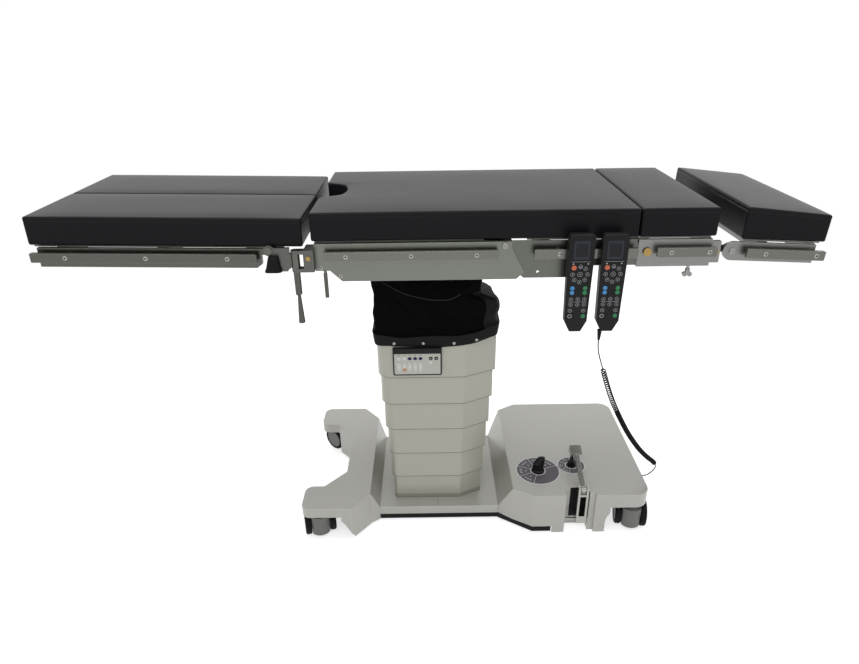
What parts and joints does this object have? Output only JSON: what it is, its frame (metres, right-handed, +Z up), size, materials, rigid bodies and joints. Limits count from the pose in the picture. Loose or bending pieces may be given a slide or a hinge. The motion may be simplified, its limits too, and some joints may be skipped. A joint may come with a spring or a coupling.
{
  "type": "electric operating table",
  "caption": "Operating table with a padded jointed top, side rails, covered lifting column and a wheeled base.",
  "frame": {"origin": "on the floor, under the middle of the table's length and width", "axes": "+X from the leg end to the head end, +Y to the side away from the handsets, +Z up"},
  "size_m": [2.0655, 0.6129, 1.0588],
  "materials": {
    "enamel_silver": "satin",
    "column_enamel": "satin",
    "chassis_black": "matt",
    "stainless": "brushed",
    "aluminium": "satin",
    "brass_pins": "polished",
    "upholstery": "satin",
    "black_plastic": "satin",
    "grey_plastic": "satin",
    "tyre": "matt",
    "bellows_cloth": "matt",
    "cord_black": "satin"
  },
  "bodies": {
    "base": {"base_chassis": "chassis_black", "foot_end_cover": "enamel_silver", "drive_end_cover": "enamel_silver", "centre_deck": "enamel_silver", "column_cover_6": "column_enamel", "cord_curl": "cord_black", "cord_tail": "cord_black"},
    "lock_feet": {"floor_lock_feet": "stainless"},
    "caster_1": {"caster_housing_1": "grey_plastic"},
    "wheels_1": {"caster_wheels_1": "tyre"},
    "caster_2": {"caster_housing_2": "grey_plastic"},
    "wheels_2": {"caster_wheels_2": "tyre"},
    "caster_3": {"caster_housing_3": "grey_plastic"},
    "wheels_3": {"caster_wheels_3": "tyre"},
    "caster_4": {"caster_housing_4": "grey_plastic"},
    "wheels_4": {"caster_wheels_4": "tyre"},
    "selector": {"selector_knob": "black_plastic"},
    "lock_selector": {"lock_knob": "black_plastic"},
    "pump_arm": {"pump_link": "stainless"},
    "pump_foot": {"pump_pedal": "stainless"},
    "lift_middle": {"lift_tube_middle": "stainless"},
    "column_head": {"lift_tube_inner": "stainless", "column_cover_1": "column_enamel", "control_panel": "black_plastic", "bellows": "bellows_cloth"},
    "cover_5": {"column_cover_5": "column_enamel"},
    "cover_4": {"column_cover_4": "column_enamel"},
    "cover_3": {"column_cover_3": "column_enamel"},
    "cover_2": {"column_cover_2": "column_enamel"},
    "yoke": {"trend_yoke": "stainless"},
    "seat": {"seat_frame": "stainless", "seat_side_covers": "stainless", "seat_pad": "upholstery", "pad_hinge_zone": "upholstery"},
    "back": {"back_frame": "stainless", "back_pad": "upholstery", "upper_back_frame": "aluminium", "upper_back_pad": "upholstery"},
    "head_slider": {"head_bars": "stainless"},
    "head": {"head_frame": "stainless", "head_pad": "upholstery"},
    "release_button_front_part": {"release_button_front": "brass_pins"},
    "head_knob_front_part": {"head_clamp_knob_front": "stainless"},
    "leg_hinge_front": {"leg_knuckle_front": "aluminium"},
    "leg_front": {"leg_frame_front": "stainless", "leg_pad_front": "upholstery"},
    "clamp_front": {"leg_clamp_lever_front": "stainless"},
    "clamp_grip_front": {"leg_clamp_grip_front": "stainless"},
    "leg_release_front_blade": {"leg_release_lever_front": "stainless"},
    "release_button_rear_part": {"release_button_rear": "brass_pins"},
    "head_knob_rear_part": {"head_clamp_knob_rear": "stainless"},
    "leg_hinge_rear": {"leg_knuckle_rear": "aluminium"},
    "leg_rear": {"leg_frame_rear": "stainless", "leg_pad_rear": "upholstery"},
    "clamp_rear": {"leg_clamp_lever_rear": "stainless"},
    "clamp_grip_rear": {"leg_clamp_grip_rear": "stainless"},
    "leg_release_rear_blade": {"leg_release_lever_rear": "stainless"},
    "back_release_blade": {"back_release_lever": "stainless"},
    "handset_cordless": {"wireless_handset": "black_plastic"},
    "handset_corded": {"wired_handset": "black_plastic"}
  },
  "joints": [
    {"name": "floor_lock", "type": "slide", "parent": "base", "child": "lock_feet", "axis": [0, 0, 1], "range_m": [0, 0.012]},
    {"name": "caster_1_swivel", "type": "hinge", "parent": "base", "child": "caster_1", "pos_m": [-0.354, -0.254, 0.09], "axis": [0, 0, 1], "continuous": true},
    {"name": "wheels_1_spin", "type": "hinge", "parent": "caster_1", "child": "wheels_1", "pos_m": [-0.35866, -0.23661, 0.0465], "axis": [-0.9659, -0.2588, 0], "continuous": true},
    {"name": "caster_2_swivel", "type": "hinge", "parent": "base", "child": "caster_2", "pos_m": [-0.354, 0.254, 0.09], "axis": [0, 0, 1], "continuous": true},
    {"name": "wheels_2_spin", "type": "hinge", "parent": "caster_2", "child": "wheels_2", "pos_m": [-0.34021, 0.24243, 0.0465], "axis": [0.6428, 0.766, 0], "continuous": true},
    {"name": "caster_3_swivel", "type": "hinge", "parent": "base", "child": "caster_3", "pos_m": [0.645, -0.24, 0.09], "axis": [0, 0, 1], "continuous": true},
    {"name": "wheels_3_spin", "type": "hinge", "parent": "caster_3", "child": "wheels_3", "pos_m": [0.64813, -0.22227, 0.0465], "axis": [-0.9848, 0.1736, 0], "continuous": true},
    {"name": "caster_4_swivel", "type": "hinge", "parent": "base", "child": "caster_4", "pos_m": [0.645, 0.24, 0.09], "axis": [0, 0, 1], "continuous": true},
    {"name": "wheels_4_spin", "type": "hinge", "parent": "caster_4", "child": "wheels_4", "pos_m": [0.63655, 0.22411, 0.0465], "axis": [0.8829, -0.4695, 0], "continuous": true},
    {"name": "selector_turn", "type": "hinge", "parent": "base", "child": "selector", "pos_m": [0.356, -0.142, 0.15], "axis": [0, 0, 1], "range_deg": [-150, 150]},
    {"name": "lock_knob_turn", "type": "hinge", "parent": "base", "child": "lock_selector", "pos_m": [0.471, -0.116, 0.15], "axis": [0, 0, 1], "range_deg": [-90, 90]},
    {"name": "pump_stroke", "type": "hinge", "parent": "base", "child": "pump_arm", "pos_m": [0.4805, -0.254, 0.044], "axis": [1, 0, 0], "range_deg": [0, 40]},
    {"name": "pump_pedal_fold", "type": "hinge", "parent": "pump_arm", "child": "pump_foot", "pos_m": [0.4805, -0.254, 0.162], "axis": [1, 0, 0], "range_deg": [0, 150]},
    {"name": "column_lift", "type": "slide", "parent": "base", "child": "column_head", "axis": [0, 0, 1], "range_m": [-0.36, 0], "deforming": ["cord_curl", "cord_tail"]},
    {"name": "lift_middle_slide", "type": "slide", "parent": "base", "child": "lift_middle", "axis": [0, 0, 1], "range_m": [-0.18, 0]},
    {"name": "cover_5_slide", "type": "slide", "parent": "base", "child": "cover_5", "axis": [0, 0, 1], "range_m": [-0.072, 0]},
    {"name": "cover_4_slide", "type": "slide", "parent": "base", "child": "cover_4", "axis": [0, 0, 1], "range_m": [-0.144, 0]},
    {"name": "cover_3_slide", "type": "slide", "parent": "base", "child": "cover_3", "axis": [0, 0, 1], "range_m": [-0.216, 0]},
    {"name": "cover_2_slide", "type": "slide", "parent": "base", "child": "cover_2", "axis": [0, 0, 1], "range_m": [-0.288, 0]},
    {"name": "trendelenburg", "type": "hinge", "parent": "column_head", "child": "yoke", "pos_m": [0.031, 0, 0.8], "axis": [0, 1, 0], "range_deg": [-25, 25], "deforming": ["bellows"]},
    {"name": "lateral_tilt", "type": "hinge", "parent": "yoke", "child": "seat", "pos_m": [0.031, 0, 0.85], "axis": [1, 0, 0], "range_deg": [-20, 20]},
    {"name": "back_tilt", "type": "hinge", "parent": "seat", "child": "back", "pos_m": [0.204, 0, 0.963], "axis": [0, -1, 0], "range_deg": [-35, 75], "deforming": ["pad_hinge_zone"]},
    {"name": "head_slide", "type": "slide", "parent": "back", "child": "head_slider", "axis": [1, 0, 0], "range_m": [0, 0.12]},
    {"name": "head_tilt", "type": "hinge", "parent": "head_slider", "child": "head", "pos_m": [0.796, 0, 0.94], "axis": [0, -1, 0], "range_deg": [-60, 25]},
    {"name": "release_button_front_press", "type": "slide", "parent": "back", "child": "release_button_front_part", "axis": [0, 1, 0], "range_m": [0, 0.002], "stiffness_N_per_m": 400},
    {"name": "head_knob_front_turn", "type": "hinge", "parent": "back", "child": "head_knob_front_part", "pos_m": [0.698, -0.236, 0.9], "axis": [0, 0, 1], "range_deg": [-180, 180]},
    {"name": "leg_spread_front", "type": "hinge", "parent": "seat", "child": "leg_hinge_front", "pos_m": [-0.34, -0.272, 0.934], "axis": [0, 0, 1], "range_deg": [0, 90]},
    {"name": "leg_tilt_front", "type": "hinge", "parent": "leg_hinge_front", "child": "leg_front", "pos_m": [-0.407, 0, 0.961], "axis": [0, -1, 0], "range_deg": [-8, 90]},
    {"name": "leg_clamp_front_turn", "type": "hinge", "parent": "seat", "child": "clamp_front", "pos_m": [-0.34, -0.272, 0.88], "axis": [0, 0, 1], "range_deg": [-90, 90]},
    {"name": "leg_clamp_front_fold", "type": "hinge", "parent": "clamp_front", "child": "clamp_grip_front", "pos_m": [-0.34, -0.272, 0.8496], "axis": [0, -1, 0], "range_deg": [0, 90]},
    {"name": "leg_release_front", "type": "hinge", "parent": "seat", "child": "leg_release_front_blade", "pos_m": [-0.268, -0.259, 0.8915], "axis": [0, 1, 0], "range_deg": [-30, 30]},
    {"name": "release_button_rear_press", "type": "slide", "parent": "back", "child": "release_button_rear_part", "axis": [0, -1, 0], "range_m": [0, 0.002], "stiffness_N_per_m": 400},
    {"name": "head_knob_rear_turn", "type": "hinge", "parent": "back", "child": "head_knob_rear_part", "pos_m": [0.698, 0.236, 0.9], "axis": [0, 0, 1], "range_deg": [-180, 180]},
    {"name": "leg_spread_rear", "type": "hinge", "parent": "seat", "child": "leg_hinge_rear", "pos_m": [-0.34, 0.272, 0.934], "axis": [0, 0, -1], "range_deg": [0, 90]},
    {"name": "leg_tilt_rear", "type": "hinge", "parent": "leg_hinge_rear", "child": "leg_rear", "pos_m": [-0.407, 0, 0.961], "axis": [0, -1, 0], "range_deg": [-8, 90]},
    {"name": "leg_clamp_rear_turn", "type": "hinge", "parent": "seat", "child": "clamp_rear", "pos_m": [-0.34, 0.272, 0.88], "axis": [0, 0, -1], "range_deg": [-90, 90]},
    {"name": "leg_clamp_rear_fold", "type": "hinge", "parent": "clamp_rear", "child": "clamp_grip_rear", "pos_m": [-0.34, 0.272, 0.8496], "axis": [0, -1, 0], "range_deg": [0, 90]},
    {"name": "leg_release_rear", "type": "hinge", "parent": "seat", "child": "leg_release_rear_blade", "pos_m": [-0.268, 0.259, 0.8915], "axis": [0, 1, 0], "range_deg": [-30, 30]},
    {"name": "back_release", "type": "hinge", "parent": "back", "child": "back_release_blade", "pos_m": [0.504, -0.259, 0.8945], "axis": [0, 1, 0], "range_deg": [-30, 30]},
    {"name": "cordless_handset_lift", "type": "slide", "parent": "back", "child": "handset_cordless", "axis": [0, 0, 1], "range_m": [0, 0.045]},
    {"name": "corded_handset_lift", "type": "slide", "parent": "back", "child": "handset_corded", "axis": [0, 0, 1], "range_m": [0, 0.045]}
  ],
  "couplings": [
    {"joint": "lift_middle_slide", "follows": "column_lift", "ratio": 0.5},
    {"joint": "cover_5_slide", "follows": "column_lift", "ratio": 0.2},
    {"joint": "cover_4_slide", "follows": "column_lift", "ratio": 0.4},
    {"joint": "cover_3_slide", "follows": "column_lift", "ratio": 0.6},
    {"joint": "cover_2_slide", "follows": "column_lift", "ratio": 0.8}
  ]
}
